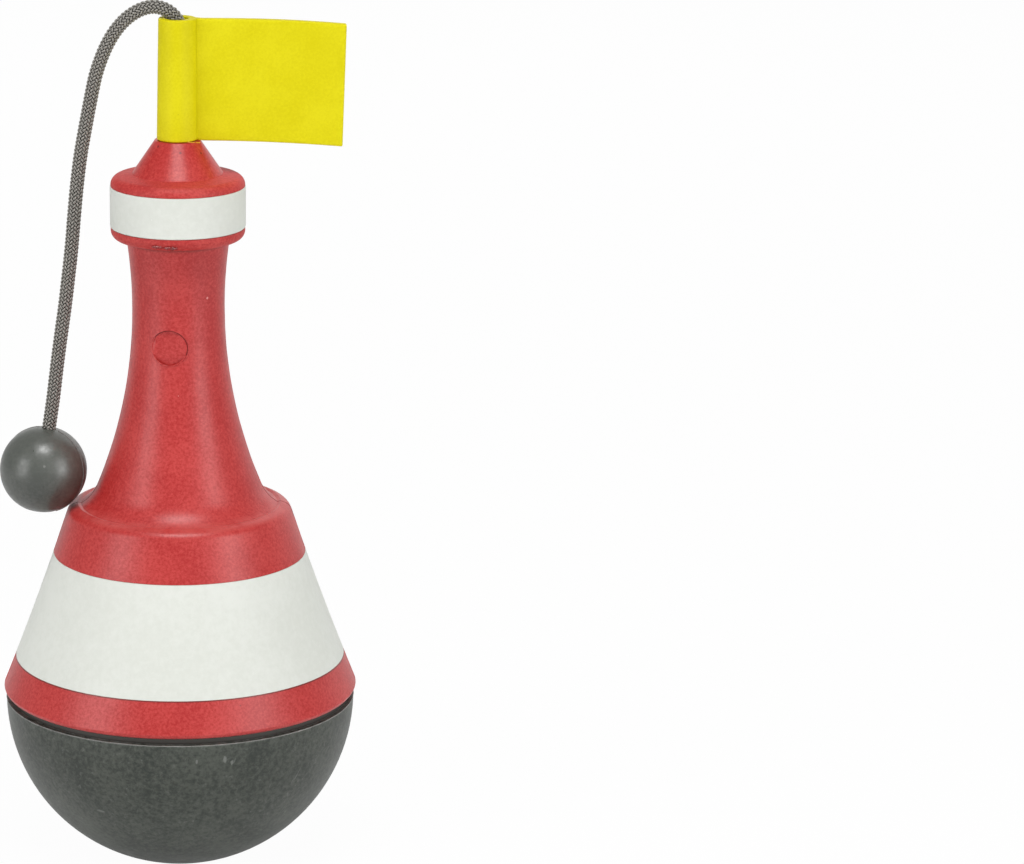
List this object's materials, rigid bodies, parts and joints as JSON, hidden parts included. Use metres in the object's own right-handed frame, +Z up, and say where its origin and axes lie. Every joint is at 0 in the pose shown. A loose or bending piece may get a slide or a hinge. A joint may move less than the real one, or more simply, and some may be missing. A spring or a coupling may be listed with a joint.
{
  "type": "floating treat toy",
  "caption": "Buoy-shaped floating pet toy: a hollow red and white body with a flag and a cord-hung ball screws onto a round weighted treat cup.",
  "frame": {"origin": "middle of the flat under the round base, on the toy's upright axis", "axes": "+Z up along the axis of base, buoy and mast; +X along the flag; -X to the side where the cord and ball hang; -Y to the front with the vent plug"},
  "size_m": [0.1159, 0.1154, 0.2852],
  "materials": {
    "base_rubber": "matte",
    "ballast_steel": "satin",
    "liner_plastic": "satin",
    "seal_rubber": "matte",
    "buoy_rubber": "matte",
    "band_rubber": "matte",
    "mast_plastic": "satin",
    "flag_rubber": "matte",
    "cord_braid": "matte",
    "ball_rubber": "satin"
  },
  "bodies": {
    "cup": {"base_shell": "base_rubber", "ballast_disc": "ballast_steel", "cup_liner": "liner_plastic"},
    "seal": {"seal_ring": "seal_rubber"},
    "buoy": {"buoy_shell": "buoy_rubber", "treat_chamber": "liner_plastic", "waist_band": "band_rubber", "vent_plug": "buoy_rubber", "collar_cap": "buoy_rubber", "collar_band": "band_rubber", "flag_mast": "mast_plastic"},
    "flag": {"flag": "flag_rubber"},
    "tether": {"cord_anchor": "cord_braid", "throw_cord": "cord_braid", "throw_ball": "ball_rubber", "ball_anchor": "cord_braid"}
  },
  "joints": [
    {"name": "cap_twist", "type": "hinge", "parent": "cup", "child": "seal", "pos_m": [0, 0, 0.055], "axis": [0, 0, 1], "range_deg": [0, 1440]},
    {"name": "cap_lift", "type": "slide", "parent": "seal", "child": "buoy", "axis": [0, 0, 1], "range_m": [0, 0.036]},
    {"name": "flag_swivel", "type": "hinge", "parent": "buoy", "child": "flag", "pos_m": [0, 0, 0.25], "axis": [0, 0, 1], "range_deg": [-100, 100]},
    {"name": "cord_swing", "type": "hinge", "parent": "buoy", "child": "tether", "pos_m": [0, 0, 0.23], "axis": [0, 0, 1], "range_deg": [-60, 60]}
  ],
  "couplings": [
    {"joint": "cap_lift", "follows": "cap_twist", "m_per_rad": 0.0014324}
  ]
}
